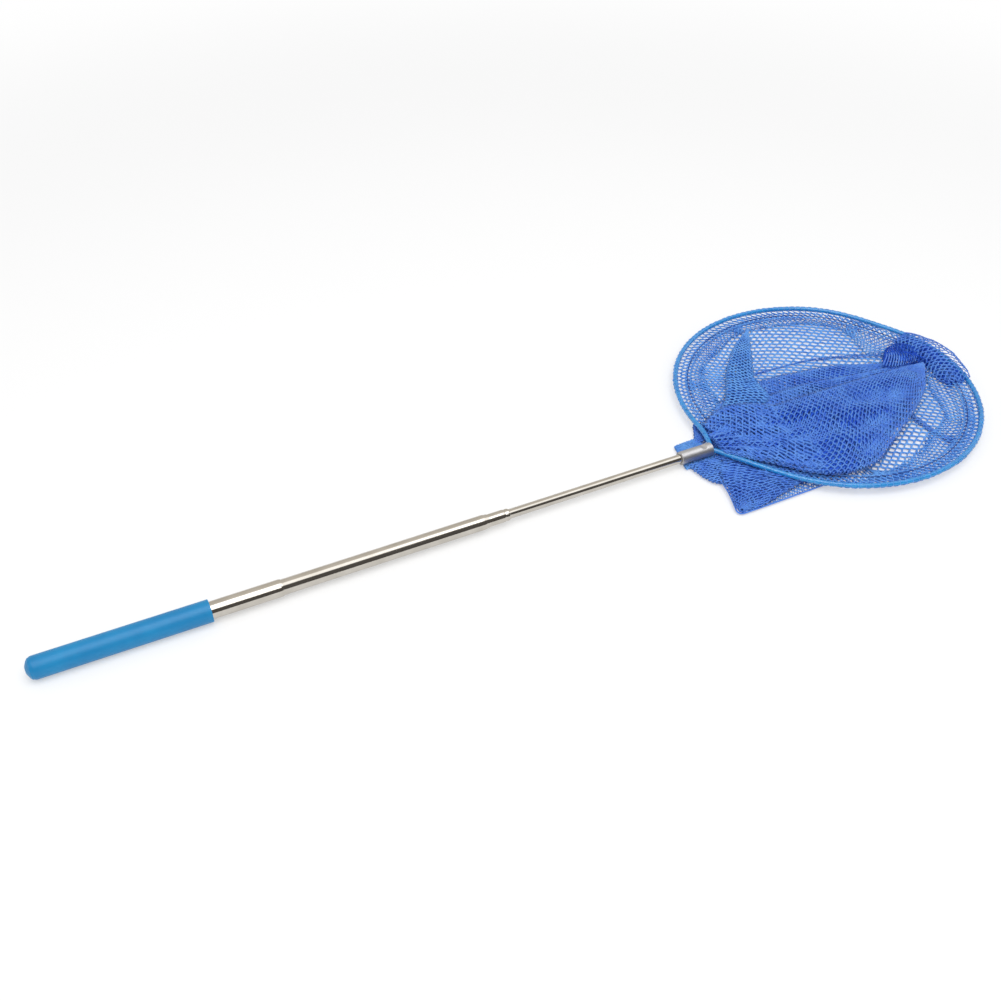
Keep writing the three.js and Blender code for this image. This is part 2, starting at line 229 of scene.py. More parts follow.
# Polyester sewing thread, twisted: matte navy.
SEWING_THREAD = Finish(
    "twisted_sewing_thread", "22398A", "15235C", 3, (0.4, 0.4, 0.4), 0.04, {"IOR": 1.5}, 0.55, 0.7
)


def deselect_all() -> None:
    """Leaves no object selected."""
    bpy.ops.object.select_all(action="DESELECT")


def make_active(piece: bpy.types.Object) -> None:
    """Selects one object alone and makes it the active one."""
    deselect_all()
    piece.select_set(True)
    bpy.context.view_layer.objects.active = piece


def mesh_piece(name: str, points: np.ndarray, faces: Sequence[Sequence[int]]) -> bpy.types.Object:
    """Makes a mesh object at the origin.

    Args:
        name: The piece's name.
        points: Its vertices in metres, in the frame of the construction model.
        faces: Vertex numbers of each face.

    Returns:
        The new object, active and selected.
    """
    mesh = bpy.data.meshes.new(name)
    mesh.from_pydata(points.tolist(), [], [list(face) for face in faces])
    mesh.update()
    piece = bpy.data.objects.new(name, mesh)
    bpy.context.scene.collection.objects.link(piece)
    make_active(piece)
    return piece


def settle(
    piece: bpy.types.Object, finish: Finish, body: Body, replaces: Sequence[str] = ()
) -> bpy.types.Object:
    """Gives a finished piece its material, its body and the nodes it stands for."""
    piece.data.materials.clear()
    piece.data.materials.append(finish.material())
    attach(piece, body.value)
    if replaces:
        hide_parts(*replaces)
    LOG.info("%s: %d faces", piece.name, len(piece.data.polygons))
    return piece


@dataclass
class Pole:
    """The grip, the five telescopic tubes and the ferrule, all round the pole's axis."""

    facets: int = 96
    tube_diameters: tuple[float, ...] = (10.1, 9.2, 7.8, 6.9, 5.95)
    lips: tuple[float, ...] = (1.2, 3.6, 1.2, 1.3, 0.0)
    tube_wall: float = 0.25
    running_fit: float = 0.03
    shim_slack: float = 0.03
    flange: float = 1.0
    tail_zone: float = 10.3
    bead_diameter: float = 7.4
    bead_length: float = 1.7
    grip_diameter: float = 12.9
    grip_mouth_round: float = 0.5
    butt_cone: float = 2.8
    butt_flat: float = 4.8
    butt_wall: float = 2.5
    butt_dome: Sequence[tuple[float, float]] = ((0.45, 0.72), (0.8, 0.9))
    butt_end: float = 1.5
    ferrule_diameter: float = 8.7
    ferrule_edge: float = 0.4
    ferrule_dish: float = 0.7
    dish_rim: float = 0.82
    dish_floor: float = 0.78
    socket_depth: float = 10.3
    crimp_from_front: float = 5.6
    crimp_radius: float = 3.2
    crimp_depth: float = 0.9

    def __post_init__(self) -> None:
        """Reads the axis and the ferrule's front off the construction model."""
        low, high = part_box("tube_1")
        self.axis = Vector((0, (low.y + high.y) / 2, (low.z + high.z) / 2))
        self.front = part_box("ferrule")[1].x

    def lathe(self, name: str, rings: Sequence[Ring]) -> bpy.types.Object:
        """Pulls a round piece out ring by ring along the pole's axis.

        Args:
            name: The piece's name.
            rings: Place along X and radius of each ring in metres. A radius of 0 closes the piece, and
                a last ring that equals the first joins it.

        Returns:
            The piece, smooth-shaded, with its place in its mesh.
        """
        deselect_all()
        x, radius = rings[0]
        upright = (0, math.pi / 2, 0)
        bpy.ops.mesh.primitive_circle_add(
            vertices=self.facets, radius=radius, location=(x, self.axis.y, self.axis.z), rotation=upright
        )
        piece = bpy.context.object
        piece.name = name
        bpy.ops.object.transform_apply(location=True, rotation=True, scale=True)
        bpy.ops.object.mode_set(mode="EDIT")
        bpy.ops.mesh.select_all(action="SELECT")
        for (x0, r0), (x1, r1) in pairwise(rings):
            bpy.ops.mesh.extrude_edges_move(TRANSFORM_OT_translate={"value": (x1 - x0, 0, 0)})
            centre = (x1, self.axis.y, self.axis.z)
            if r1 == 0:
                bpy.ops.mesh.merge(type="CENTER")
            elif r1 != r0:
                bpy.ops.transform.resize(value=(1, r1 / r0, r1 / r0), center_override=centre)
        bpy.ops.mesh.select_all(action="SELECT")
        bpy.ops.mesh.remove_doubles(threshold=MERGE_WITHIN)
        bpy.ops.mesh.normals_make_consistent(inside=False)
        bpy.ops.object.mode_set(mode="OBJECT")
        bpy.ops.object.shade_smooth_by_angle(angle=SMOOTH_BELOW)
        return piece

    @staticmethod
    def ease(start: Ring, end: Ring, steps: int = 6) -> list[Ring]:
        """A soft S-shaped run of rings between two rings, without the first."""
        rings = []
        for i in range(1, steps + 1):
            share = i / steps
            blend = (1 - math.cos(math.pi * share)) / 2
            rings.append((start[0] + (end[0] - start[0]) * share, start[1] + (end[1] - start[1]) * blend))
        return rings

    @staticmethod
    def corner(x: float, radius: float, size: float, turn: int) -> list[Ring]:
        """A rounded edge of a round piece.

        Args:
            x: Where the edge would be sharp, along X.
            radius: The radius beside the edge.
            size: The rounding.
            turn: 1 where the piece starts there, and -1 where it ends.

        Returns:
            The rings, in the order of growing X.
        """
        rings = []
        for i in range(6):
            angle = math.pi / 2 * i / 5
            place = x + turn * size * (1 - math.sin(angle))
            rings.append((place, radius - size * (1 - math.cos(math.pi / 2 - angle))))
        return rings if turn > 0 else rings[::-1]

    def grip(self) -> bpy.types.Object:
        """The dip-moulded sleeve with its blunt closed butt."""
        start, end = (corner.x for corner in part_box("grip"))
        radius = self.grip_diameter / 2 * MM
        cone = self.butt_cone * MM
        bore = (self.tube_diameters[0] / 2 + self.running_fit) * MM
        flat = self.butt_flat / 2 * MM
        dome = [(start + cone * reach, radius * share) for reach, share in self.butt_dome]
        rings = [(start, flat * 0.02), (start, flat * 0.8), (start + cone * 0.06, flat), *dome]
        rings += self.ease(rings[-1], (start + cone * self.butt_end, radius), 5)
        rings += self.corner(end, radius, self.grip_mouth_round * MM, -1)
        bottom = start + self.butt_wall * MM
        rings += [(end, bore), (bottom, bore), (bottom, 0)]
        return settle(self.lathe("grip_sleeve", rings), DIPPED_PVC, Body.HANDLE, ["grip"])

    def tube(self, index: int, body: Body) -> bpy.types.Object:
        """One telescopic tube, from its flanged tail to its drawn-in mouth.

        Args:
            index: 0 for the tube in the grip, up to 4 for the thinnest.
            body: What the tube rides on.

        Returns:
            The tube.
        """
        node = f"tube_{index + 1}"
        tail, mouth = (corner.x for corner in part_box(node))
        outer = self.tube_diameters[index] / 2 * MM
        wall = self.tube_wall * MM
        rings = [(tail, outer - wall)]
        if index:
            flange = (self.tube_diameters[index - 1] / 2 - self.tube_wall - self.running_fit) * MM
            step = self.flange * MM
            end = tail + self.tail_zone * MM
            # Out of sight, the shims' seat keeps clear of their facets as the tube turns in them.
            seat = outer - self.shim_slack * MM
            first, last = tail + step - self.shim_slack * MM, end - step + self.shim_slack * MM
            rings += [(tail, flange), (first, flange), (first, seat)]
            rings += [(last, seat), (last, flange), (end - step / 3, flange), (end, outer)]
        else:
            rings += [(tail, outer)]
        lip = self.lips[index] * MM
        if lip:
            inside = (self.tube_diameters[index + 1] / 2 + self.running_fit) * MM
            start = mouth - lip
            if index == 3:
                rings += self.bead(start, outer)
                outer = self.bead_diameter / 2 * MM
            else:
                rings += [(start, outer)]
            rings += self.ease(rings[-1], (mouth - lip * 0.12, inside + wall))
            rings += [(mouth, inside + wall * 0.6), (mouth, inside), (mouth - lip / 3, inside)]
            rings += [(start, self.tube_diameters[index] / 2 * MM - wall)]
        else:
            rings += [(mouth, outer), (mouth, outer - wall)]
        rings += [rings[0]]
        return settle(self.lathe(f"{node}_polished", rings), POLISHED_STAINLESS, body, [node])

    def bead(self, end: float, outer: float) -> list[Ring]:
        """The rolled bead behind the nose of the fourth tube, which stops it at the third tube's mouth."""
        start = end - self.bead_length * MM
        rise = self.bead_diameter / 2 * MM - outer
        turns = [i / 8 for i in range(9)]
        swell = [rise * math.sin(math.pi * min(t, 0.5)) ** 0.6 for t in turns]
        return [(start + (end - start) * t, outer + more) for t, more in zip(turns, swell)]

    def ferrule(self) -> bpy.types.Object:
        """The satin socket that holds the last tube and both ends of the wire, crimped near its front."""
        start, end = (corner.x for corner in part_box("ferrule"))
        radius = self.ferrule_diameter / 2 * MM
        edge = self.ferrule_edge * MM
        socket = (self.tube_diameters[-1] / 2 + self.running_fit) * MM
        deep = start + self.socket_depth * MM
        rings = [(deep, socket * 0.02), (deep, socket), (start, socket), *self.corner(start, radius, edge, 1)]
        body = (end - start) - 2 * edge
        rings += [(start + edge + body * i / 60, radius) for i in range(1, 60)]
        rings += self.corner(end, radius, edge, -1)
        dish = end - self.ferrule_dish * MM
        floor = radius * self.dish_floor
        rings += [(end, radius * self.dish_rim), (dish, floor), (dish, radius * 0.4), (dish, 0)]
        piece = self.lathe("ferrule_crimped", rings)
        self.crimp(piece, end)
        return settle(piece, SATIN_ALUMINIUM, Body.HEAD, ["ferrule"])

    def crimp(self, piece: bpy.types.Object, end: float) -> None:
        """Presses the two saddles of the crimping tool into the ferrule, above and below."""
        middle = end - self.crimp_from_front * MM
        radius = self.crimp_radius * MM
        outer = self.ferrule_diameter / 2 * MM
        bottom = outer - self.crimp_depth * MM
        for vertex in piece.data.vertices:
            along = abs(vertex.co.x - middle)
            height = vertex.co.z - self.axis.z
            if along < radius and math.hypot(vertex.co.y - self.axis.y, height) > outer * 0.9:
                limit = bottom + radius - math.sqrt(radius**2 - along**2)
                if abs(height) > limit:
                    vertex.co.z = self.axis.z + math.copysign(limit, height)
        piece.data.update()

    def build(self) -> None:
        """Makes every round piece."""
        self.grip()
        for index, body in enumerate((Body.HANDLE, Body.TUBE_2, Body.TUBE_3, Body.TUBE_4, Body.HEAD)):
            self.tube(index, body)
        self.ferrule()


@dataclass(frozen=True)
class Hoop:
    """The hoop's centre line in plan: a circle, a little flattened on its far right, with a neck."""

    outer_radius: float = 104.0
    yaw: float = 11.06
    neck_gap: float = 7.4
    sleeve_diameter: float = 3.4
    sleeve_shown: float = 3.1
    leg_spacing: float = 3.7
    leg_depth: float = 9.5
    leg_straight: float = 0.5
    leg_bend: float = 2.2
    near_neck: float = 25.0
    far_neck: float = 13.0
    near_handle: float = 33.0
    far_handle: float = 10.0
    dent: float = 3.6
    dent_angle: float = 29.0
    dent_spread: float = 17.0

    @property
    def centre(self) -> np.ndarray:
        """The middle of the hoop's circle."""
        reach = self.outer_radius + self.neck_gap
        return reach * np.array([math.cos(math.radians(self.yaw)), math.sin(math.radians(self.yaw))])

    def radius(self, angle: np.ndarray) -> np.ndarray:
        """Distance of the sleeve's centre line from the hoop's centre, at angles in degrees."""
        away = (angle - self.dent_angle + 180) % 360 - 180
        pressed = self.dent * np.exp(-((away / self.dent_spread) ** 2))
        return self.outer_radius - self.sleeve_diameter / 2 - pressed

    def ring_point(self, angle: np.ndarray) -> np.ndarray:
        """Plan places on the hoop's circle, at angles in degrees."""
        turned = np.radians(angle)
        return self.centre + self.radius(angle)[..., None] * np.stack([np.cos(turned), np.sin(turned)], -1)

    def outward(self, angle: np.ndarray) -> np.ndarray:
        """Directions from the hoop's centre to its circle, at angles in degrees."""
        away = self.ring_point(angle) - self.centre
        return away / np.linalg.norm(away, axis=1)[:, None]

    def neck(self, side: int, angle: float, handle: float, shares: np.ndarray) -> np.ndarray:
        """One bend of the neck, from in front of the ferrule to the circle, as a cubic Bezier curve."""
        joint = self.ring_point(np.array(angle))
        turned = math.radians(angle)
        along = np.array([-math.sin(turned), math.cos(turned)])
        y = side * self.leg_spacing / 2
        knots = [
            np.array([self.leg_straight, y]),
            np.array([self.leg_straight + self.leg_bend, y]),
            joint + handle * along,
            joint,
        ]
        t = shares[:, None]
        weights = [(1 - t) ** 3, 3 * (1 - t) ** 2 * t, 3 * (1 - t) * t**2, t**3]
        return sum(weight * knot for weight, knot in zip(weights, knots))

    def centre_line(self, legs: bool = True) -> np.ndarray:
        """Plan points of the wire from the near leg round the hoop to the far one, about 1 mm apart."""
        start, end = 180 + self.yaw + self.near_neck, 540 + self.yaw - self.far_neck
        bend = np.linspace(0, 1, 32)
        near = self.neck(-1, start, -self.near_handle, bend)
        far = self.neck(1, end, self.far_handle, bend)[::-1]
        ring = self.ring_point(np.linspace(start, end, 560)[1:-1])
        if not legs:
            return np.concatenate([near, ring, far])
        y = self.leg_spacing / 2
        return np.concatenate([[(-self.leg_depth, -y)], near, ring, far, [(-self.leg_depth, y)]])


@dataclass
class Plan:
    """Carries plan places in millimetres to the frame of the construction model."""

    pole: Pole

    def place(self, plan: np.ndarray, height: np.ndarray | float) -> np.ndarray:
        """Puts plan points at their heights above the floor.

        Args:
            plan: An array of x and y in its last axis.
            height: One height in millimetres, or one for each point.

        Returns:
            An array of points in metres.
        """
        points = np.empty((len(plan), 3))
        points[:, 0] = self.pole.front + plan[:, 0] * MM
        points[:, 1] = self.pole.axis.y + plan[:, 1] * MM
        points[:, 2] = np.asarray(height) * MM
        return points


def resample(points: np.ndarray, count: int) -> np.ndarray:
    """Spreads a number of points evenly along a line of points."""
    steps = np.linalg.norm(np.diff(points, axis=0), axis=1)
    reach = np.concatenate([[0], np.cumsum(steps)])
    wanted = np.linspace(0, reach[-1], count)
    return np.stack([np.interp(wanted, reach, points[:, k]) for k in range(points.shape[1])], -1)


def length_of(line: np.ndarray) -> float:
    """The length of a line of points."""
    return np.linalg.norm(np.diff(line, axis=0), axis=1).sum()


def line_at(line: np.ndarray, shares: np.ndarray) -> np.ndarray:
    """Points of an evenly spread line at shares of its length."""
    stations = np.linspace(0, 1, len(line))
    return np.stack([np.interp(shares, stations, line[:, k]) for k in range(line.shape[1])], -1)


def beside(along: np.ndarray) -> np.ndarray:
    """Unit directions square to a line's directions, on its left, which is inward on the hoop."""
    unit = along / np.linalg.norm(along, axis=1)[:, None]
    return np.stack([-unit[:, 1], unit[:, 0]], -1)


def curve_through(points: Sequence[Point], count: int) -> np.ndarray:
    """A smooth line through given points.

    Args:
        points: The points that it passes, in order.
        count: How many points the line gets.

    Returns:
        Evenly spread points.
    """
    p = np.array(points, float)
    p = np.concatenate([[2 * p[0] - p[1]], p, [2 * p[-1] - p[-2]]])
    t = np.linspace(0, 1, 12, endpoint=False)[:, None]
    line = []
    for a, b, c, d in zip(p, p[1:], p[2:], p[3:]):
        bend = t**2 * (a - 2.5 * b + 2 * c - d / 2) + t**3 * (-a + 3 * b - 3 * c + d) / 2
        line.append(b + t * (c - a) / 2 + bend)
    line.append(p[-2][None])
    return resample(np.concatenate(line), count)


def ripple(plan: np.ndarray, wave: float, seed: int) -> np.ndarray:
    """A gentle seeded waviness between about -1 and 1.

    Args:
        plan: Plan points in millimetres.
        wave: The shortest wave's length in millimetres.
        seed: Chooses the waves' directions and phases.

    Returns:
        One value for each point.
    """
    random = np.random.default_rng(seed)
    total = np.zeros(len(plan))
    for k in range(5):
        angle, phase = random.uniform(0, 2 * math.pi, 2)
        length = wave * (1 + 0.45 * k)
        total += np.sin(2 * math.pi / length * (plan @ [math.cos(angle), math.sin(angle)]) + phase)
    return total / 2.5


@dataclass(frozen=True)
class Knit:
    """The bag's mesh: rows of six-sided holes between yarns, coarser than real ones so that they show."""

    course: float = 3.9
    pillar: float = 0.34
    looseness: float = 0.14
    thinnest: float = 0.45
    gathered: float = 0.25
    open: float = 1.1

    def lattice(self, holes: int, rows: int, wrapped: bool = False) -> tuple[np.ndarray, list[list[int]]]:
        """Lays out the holes flat, four short strands to each hole's width.

        Args:
            holes: How many holes a row has.
            rows: How many rows there are, an even number where they wrap.
            wrapped: True where the last row meets the first.

        Returns:
            Each knot's place in holes and rows, and the knots round each hole.
        """
        width = 4 * holes + 3
        height = rows if wrapped else rows + 1
        swing = np.array([-1.0, 0.0, 1.0, 0.0]) * (1 - self.pillar) / 2
        lines, steps = np.meshgrid(np.arange(height), np.arange(width), indexing="ij")
        middle = 2 + 2 * (lines % 2)
        knots = np.stack([steps / 4, lines + swing[(steps - middle) % 4]], -1).reshape(-1, 2)
        faces = []
        for row in range(rows):
            for hole in range(holes):
                first = 4 * hole + 2 * (row % 2)
                span = range(first, first + 5)
                above = (row + 1) % height
                faces.append([row * width + k for k in span] + [above * width + k for k in reversed(span)])
        return knots, faces

    def knit(
        self,
        name: str,
        points: np.ndarray,
        faces: Sequence[Sequence[int]],
        yarn: float,
        slim: np.ndarray | None = None,
    ) -> bpy.types.Object:
        """Turns the outlines of the holes into yarns, thinner where the mesh is gathered.

        Args:
            name: The piece's name.
            points: Where each knot lies, in metres.
            faces: The knots round each hole.
            yarn: The yarn's thickness in millimetres.
            slim: For each knot, the share that its yarns keep of their thickness.

        Returns:
            The knitted piece.
        """
        used = sorted({k for face in faces for k in face})
        number = {k: i for i, k in enumerate(used)}
        loose = np.random.default_rng(len(used)).normal(0, self.looseness * MM, (len(used), 3))
        outlines = [[number[k] for k in face] for face in faces]
        piece = mesh_piece(name, points[used] + loose * [1, 1, 0.4], outlines)
        group = piece.vertex_groups.new(name="yarn")
        shares = self.slimness(piece.data)
        if slim is not None:
            shares = shares * slim[used]
        for index, share in enumerate(shares.tolist()):
            group.add([index], share, "REPLACE")
        frame = piece.modifiers.new("yarn", "WIREFRAME")
        frame.thickness = yarn * MM
        frame.use_replace = True
        frame.use_boundary = True
        frame.use_even_offset = False
        frame.vertex_group = group.name
        frame.thickness_vertex_group = self.thinnest
        bpy.ops.object.modifier_apply(modifier=frame.name)
        piece.vertex_groups.clear()
        bpy.ops.object.shade_smooth()
        return piece

    def slimness(self, mesh: bpy.types.Mesh) -> np.ndarray:
        """How thick each knot's yarns are, from 0 where they are tightly gathered to 1."""
        ends = np.array([edge.vertices for edge in mesh.edges])
        places = np.array([vertex.co for vertex in mesh.vertices])
        lengths = np.linalg.norm(places[ends[:, 0]] - places[ends[:, 1]], axis=1)
        total, count = np.zeros(len(places)), np.zeros(len(places))
        for side in (0, 1):
            np.add.at(total, ends[:, side], lengths)
            np.add.at(count, ends[:, side], 1)
        reach = total / np.maximum(count, 1) / MM
        return np.clip((reach - self.gathered) / (self.open - self.gathered), 0, 1)


@dataclass
class Fold:
    """A flattened fold of the bag: two layers of mesh between two edges that it is creased along."""

    name: str
    left: Sequence[Point]
    right: Sequence[Point]
    low: float
    high: float
    rows: int
    along: int
    yarn: float = 1.3
    wave: float = 26.0
    lift: float = 0.7
    seed: int = 1
    rise: Sequence[float] = (0.0, 0.0)
    pleats: float = 0.0
    pleat_height: float = 1.2
    pleat_reach: float = 0.6
    slant: float = 0.0
    steepness: float = 3.2
    finish: Finish = GATHERED_POLYESTER

    def surface(self, plan: Plan) -> Surface:
        """The fold's surface, over its way round the two layers and its way along the edges."""
        left, right = (curve_through(edge, 200) for edge in (self.left, self.right))
        climb = np.linspace(0, 1, len(self.rise))

        def point(around: np.ndarray, along: np.ndarray) -> np.ndarray:
            turn = around % 1.0
            across = 1 - np.abs(1 - 2 * turn)
            t = np.clip(along, 0, 1)
            t = t + self.slant * (0.5 - across) * 4 * t * (1 - t)
            start = line_at(left, t)
            where = start + (line_at(right, t) - start) * across[:, None]
            side = np.clip(np.sin(2 * math.pi * turn) * self.steepness, -1, 1)
            middle = (self.low + self.high) / 2 + np.interp(t, climb, self.rise)
            half = (self.high - self.low) / 2
            free = np.clip(1.6 * np.sin(math.pi * across), 0, 1)
            wave = self.lift * ripple(where, self.wave, self.seed) * (0.35 + 0.65 * free)
            fade = np.clip(1 - t / self.pleat_reach, 0, 1) * free
            pleat = self.pleat_height * np.sin(2 * math.pi * self.pleats * across) * fade
            height = middle + half * side + np.where(side > 0, wave + pleat, 0.4 * wave)
            return plan.place(where, np.maximum(height, self.yarn / 2 + FLOOR_GAP))

        return point

    def build(self, knit: Knit, plan: Plan) -> bpy.types.Object:
        """Knits the fold lengthwise, so that a row of knots runs along each crease."""
        knots, faces = knit.lattice(self.along, self.rows, wrapped=True)
        points = self.surface(plan)(knots[:, 1] / self.rows, knots[:, 0] / (self.along + 0.5))
        return knit.knit(self.name, points, faces, self.yarn)


# The creased folds of the collapsed bag, in the order in which they are made.
# Linings and fillings take the darker yarn with painted shade, single layers the paler one with painted
# light.
FOLDS = (
    Fold(
        "net_lining_fold",
        left=[(8, 18), (26, 30), (46, 43), (78, 49.5), (120, 46), (145, 39), (178, 27), (188, 18)],
        right=[(4, -8), (34, -22), (60, -36), (90, -34), (116, -26), (146, -12), (166, 0), (182, 12)],
        low=1.4, high=2.4, rows=48, along=48, yarn=1.6, seed=11, lift=0.9, finish=SHADE_PAINTED_POLYESTER,
    ),
    Fold(
        "net_rear_fold",
        left=[(8, 20), (22, 32), (40, 44), (75, 52), (120, 48), (145, 41), (178, 29), (192, 20)],
        right=[(4, -9), (30, -30), (54, -51), (82, -54), (106, -43), (140, -22), (162, -8), (188, 12)],
        low=2.6, high=3.6, rows=62, along=48, yarn=1.15, seed=11, lift=0.9,
    ),
    Fold(
        "net_middle_fold",
        left=[(7, 14), (22, 22), (45, 28), (75, 34), (110, 33), (140, 28), (170, 24), (190, 19)],
        right=[(5, -9), (28, -32), (52, -53), (80, -56), (104, -45), (138, -24), (160, -10), (186, 11)],
        low=4.2, high=5.2, rows=58, along=50, yarn=1.2, lift=0.9, wave=22.0, seed=31,
    ),
    Fold(
        "net_front_fold",
        left=[(6, 11), (22, 15), (45, 18), (75, 20), (120, 19), (160, 17.5), (178, 16), (190, 15)],
        right=[(5, -9), (28, -33), (52, -56), (82, -60), (108, -48), (143, -28), (168, -11), (188.3, 11.5)],
        low=7.6, high=8.8, rows=48, along=45, yarn=1.16, lift=1.5, wave=20.0, seed=12, pleats=5.5,
        pleat_height=1.2, pleat_reach=0.7, slant=0.2,
    ),
    Fold(
        "net_front_lining",
        left=[(7, 10), (22, 14), (45, 17), (75, 19), (120, 18), (155, 16.5), (172, 15), (180, 14.3)],
        right=[(7, -5), (29, -31), (53, -54), (81, -56), (104, -42), (135, -22), (158, -6), (178, 11)],
        low=6.4, high=7.4, rows=46, along=42, yarn=1.7, lift=1.5, wave=20.0, seed=12, pleats=5.5,
        pleat_height=1.2, pleat_reach=0.7, slant=0.2, finish=SHADE_PAINTED_POLYESTER,
    ),
    Fold(
        "net_wedge_fold",
        left=[
            (14, 16), (22, 25), (31, 33), (40, 41), (52, 57), (63, 71.5), (79.5, 88.5), (93, 100), (108, 109),
        ],
        right=[
            (20, 10), (38, 16), (57, 23), (70, 31), (73, 43), (75.5, 55), (83.5, 68.5), (97, 90),
            (109.5, 110),
        ],
        low=1.9, high=3.3, rows=16, along=36, yarn=1.15, seed=13, finish=LIGHT_PAINTED_POLYESTER,
        rise=(4.6, 4.2, 3.6, 2.8, 1.0, 0.2, 0, 0, 0),
    ),
    Fold(
        "net_wedge_lining",
        left=[(38, 34), (46, 46), (60, 64), (76, 83), (104, 107)],
        right=[(68, 34), (73, 50), (83, 68), (95, 88), (106, 107)],
        low=1.0, high=1.7, rows=10, along=22, yarn=1.1, seed=23, finish=LIGHT_PAINTED_POLYESTER,
    ),
    Fold(
        "net_neck_gather",
        left=[(10, 22), (22, 29), (36, 31), (52, 27), (70, 20)],
        right=[(10, -10), (24, -27), (40, -42), (58, -52), (76, -56)],
        low=9.0, high=10.2, rows=34, along=14, yarn=1.6, lift=0.9, wave=15.0, seed=33,
        rise=(-2.0, 0, -1, -4.5), pleats=5, pleat_height=1.1, pleat_reach=1.0,
    ),
    Fold(
        "net_side_fold",
        left=[(143, -20), (145, -36), (147, -46), (149, -60)],
        right=[(149, -20), (149, -36), (151, -44), (157, -60)],
        low=1.4, high=2.4, rows=4, along=12, seed=14,
    ),
    Fold(
        "net_crease_fold",
        left=[(80, 60.4), (100, 60.6), (122, 59.5), (142, 55), (166, 49), (186, 42)],
        right=[(80, 60), (100, 60), (122, 58.2), (142, 52.5), (166, 43), (184, 30)],
        low=1.5, high=2.4, rows=4, along=27, yarn=0.8, seed=15,
    ),
    Fold(
        "net_pleat_fold",
        left=[(176, 38), (181, 42), (188, 44), (195, 41), (199, 33)],
        right=[(163.5, 25), (169, 21), (176, 19.5), (184, 18.5), (194, 14)],
        low=3.0, high=6.4, rows=8, along=17, yarn=0.8, lift=1.0, wave=9.0, seed=16, rise=(0, 1.5, 2.5),
        finish=SHADE_PAINTED_POLYESTER,
    ),
    Fold(
        "net_tail",
        left=[(-14.6, -54), (-15, -50.6), (-12.9, -44), (-10.8, -36.8), (-9.2, -27.5), (-4, -17), (4, -8)],
        right=[(-12.5, -55), (2, -55.2), (15, -53.5), (30, -50.5), (46, -49.5), (62, -49), (78, -49)],
        low=2.6, high=4.4, rows=26, along=17, yarn=1.25, lift=0.9, wave=12.0, seed=17,
        rise=(-0.8, -0.3, 0.4, 0.3, -0.8, -1.4), pleats=0.5, pleat_height=0.8, pleat_reach=2.0,
    ),
    Fold(
        "net_tail_lining",
        left=[(-13.4, -54.6), (0, -54.6), (10, -54), (20, -51.5), (38, -50), (64, -49.5)],
        right=[(-5.5, -28), (3, -16), (16, -13), (34, -17), (62, -25), (70, -30)],
        low=0.7, high=1.5, rows=20, along=20, yarn=1.2, seed=27, finish=SHADE_PAINTED_POLYESTER,
    ),
    Fold(
        "net_tail_edge",
        left=[(-9, -55.3), (10, -55.4), (30, -55.4), (50, -55.3), (68, -54.9)],
        right=[(-9, -53), (10, -50.5), (30, -47.5), (50, -47), (68, -47)],
        low=0.9, high=1.5, rows=6, along=20, yarn=0.85, seed=30, lift=0.2, finish=LIGHT_PAINTED_POLYESTER,
    ),
    Fold(
        "net_tail_filling",
        left=[(-11, -50), (0, -50), (12, -48), (22, -46), (36, -46), (56, -48)],
        right=[(-5, -28), (3, -16), (16, -13), (34, -17), (62, -25)],
        low=1.2, high=2.0, rows=24, along=24, yarn=1.4, seed=29, finish=SHADE_PAINTED_POLYESTER,
    ),
    Fold(
        "net_tail_corner",
        left=[(-18.6, -4), (-17.6, -11), (-16, -18), (-13, -24.5), (-8, -28.5)],
        right=[(5, -4), (12, -10), (18, -16), (21, -22), (22, -28)],
        low=0.9, high=2.6, rows=24, along=11, yarn=1.4, seed=18, pleats=2.5, pleat_height=0.8,
    ),
    Fold(
        "net_neck_tab",
        left=[(-15.5, 17), (-18.5, 6), (-21.5, -5.5)],
        right=[(1, 17.5), (4, 8), (5, -6)],
        low=0.8, high=1.8, rows=36, along=26, yarn=1.25, lift=0.3, seed=19, finish=LIGHT_PAINTED_POLYESTER,
    ),
    Fold(
        "net_neck_gusset",
        left=[(-2.5, 14), (2, 20), (8.5, 31)],
        right=[(8, 12), (11, 19), (15, 29)],
        low=1.0, high=2.2, rows=16, along=10, yarn=1.6, lift=0.3, seed=20,
    ),
)


